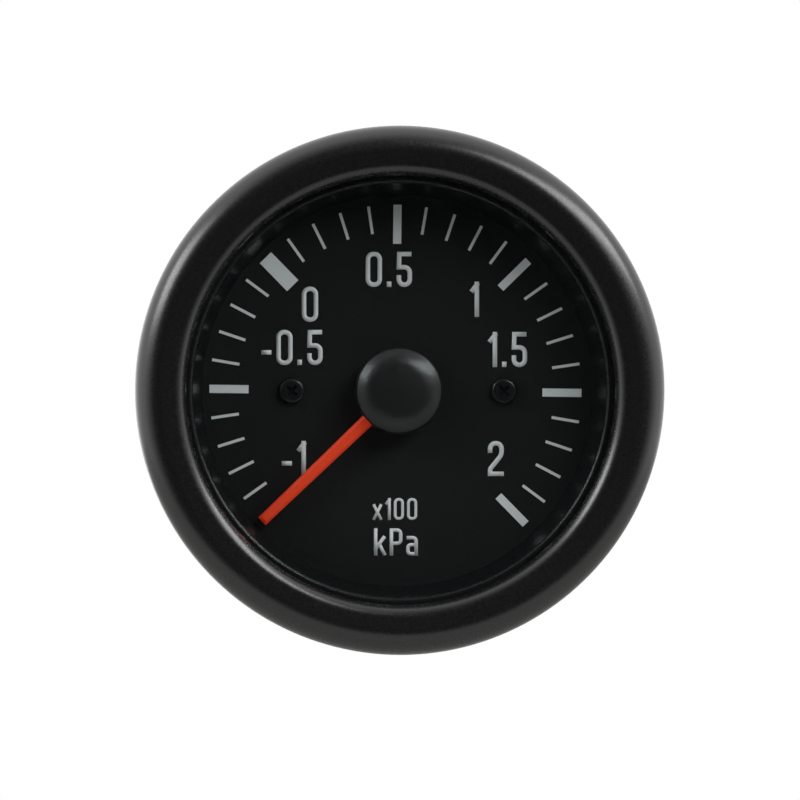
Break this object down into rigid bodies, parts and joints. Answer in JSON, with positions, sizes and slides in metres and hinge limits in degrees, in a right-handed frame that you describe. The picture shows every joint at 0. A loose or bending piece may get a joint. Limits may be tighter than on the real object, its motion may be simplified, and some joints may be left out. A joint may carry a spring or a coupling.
{
  "type": "boost gauge",
  "caption": "Round panel boost gauge: black rolled bezel, flat glass, dial scaled from vacuum to boost, red pointer, geared Bourdon tube movement and rear hose nipple.",
  "frame": {"origin": "on the gauge's axis, in the plane where the bezel's back rests on the panel's front face", "axes": "+Y along the axis towards the rear, so the dial looks along -Y; +Z towards the top of the dial; +X to the viewer's right"},
  "size_m": [0.06, 0.0598, 0.06],
  "materials": {
    "bezel_black": "satin black, painted or blackened formed steel",
    "lens_glass": "clear flat glass",
    "seal_rubber": "black moulded rubber",
    "spacer_black": "black moulded plastic, fine matt",
    "case_zinc": "zinc-plated drawn steel",
    "dial_black": "matt black paint on sheet aluminium",
    "print_grey": "light grey screen print",
    "screw_black": "blackened steel",
    "pointer_red": "orange-red paint",
    "cap_black": "glossy black plastic",
    "brass": "machined and rolled brass",
    "tube_bronze": "drawn phosphor bronze",
    "steel": "turned and stamped steel",
    "spring_blue": "blued spring strip",
    "washer_fibre": "red vulcanised fibre",
    "stud_zinc": "zinc-plated steel",
    "holder_black": "black moulded plastic",
    "bulb_glass": "clear glass on a moulded base",
    "terminal_tin": "tinned brass blade"
  },
  "bodies": {
    "case": {"bezel": "bezel_black", "lens": "lens_glass", "gasket": "seal_rubber", "spacer_ring": "spacer_black", "case": "case_zinc", "dial": "dial_black", "scale_marks": "print_grey", "dial_screws": "screw_black", "bourdon_tube": "tube_bronze", "hairspring": "spring_blue", "hair_stud": "brass", "front_plate": "brass", "rear_plate": "brass", "plate_pillars": "brass", "dial_posts": "brass", "plate_screws": "steel", "block_screws": "steel", "socket_block": "brass", "socket_washer": "washer_fibre", "socket_nut": "brass", "hose_nipple": "brass", "mounting_studs": "stud_zinc", "lamp_holder": "holder_black", "lamp_bulb": "bulb_glass", "lamp_terminals": "terminal_tin"},
    "pointer": {"pointer_blade": "pointer_red", "pointer_cap": "cap_black", "pointer_bush": "brass", "pinion_arbor": "steel", "hair_collet": "brass"},
    "sector": {"sector_gear": "brass", "sector_arbor": "steel", "tail_pin": "steel"},
    "link": {"link": "steel"},
    "tube_end": {"tip_plug": "brass", "tip_pin": "steel"}
  },
  "joints": [
    {"name": "pointer_turn", "type": "hinge", "parent": "case", "child": "pointer", "pos_m": [0, 0, 0], "axis": [0, 1, 0], "range_deg": [0, 268.7], "stiffness_Nm_per_rad": 0.00002, "springref_deg": -28.65, "deforming": ["hairspring"]},
    {"name": "sector_turn", "type": "hinge", "parent": "case", "child": "sector", "pos_m": [0.01081, 0, -0.00757], "axis": [0, 1, 0], "range_deg": [-27, 0]},
    {"name": "link_swing", "type": "hinge", "parent": "sector", "child": "link", "pos_m": [0.01616, 0, -0.00884], "axis": [0, 1, 0], "range_deg": [0, 27]},
    {"name": "tip_lift", "type": "slide", "parent": "case", "child": "tube_end", "axis": [0, 0, 1], "range_m": [0, 0.0026], "deforming": ["bourdon_tube"]}
  ],
  "couplings": [
    {"joint": "sector_turn", "follows": "pointer_turn", "ratio": -0.1},
    {"joint": "link_swing", "follows": "pointer_turn", "ratio": 0.1},
    {"joint": "tip_lift", "follows": "pointer_turn", "m_per_rad": 0.00054498}
  ]
}
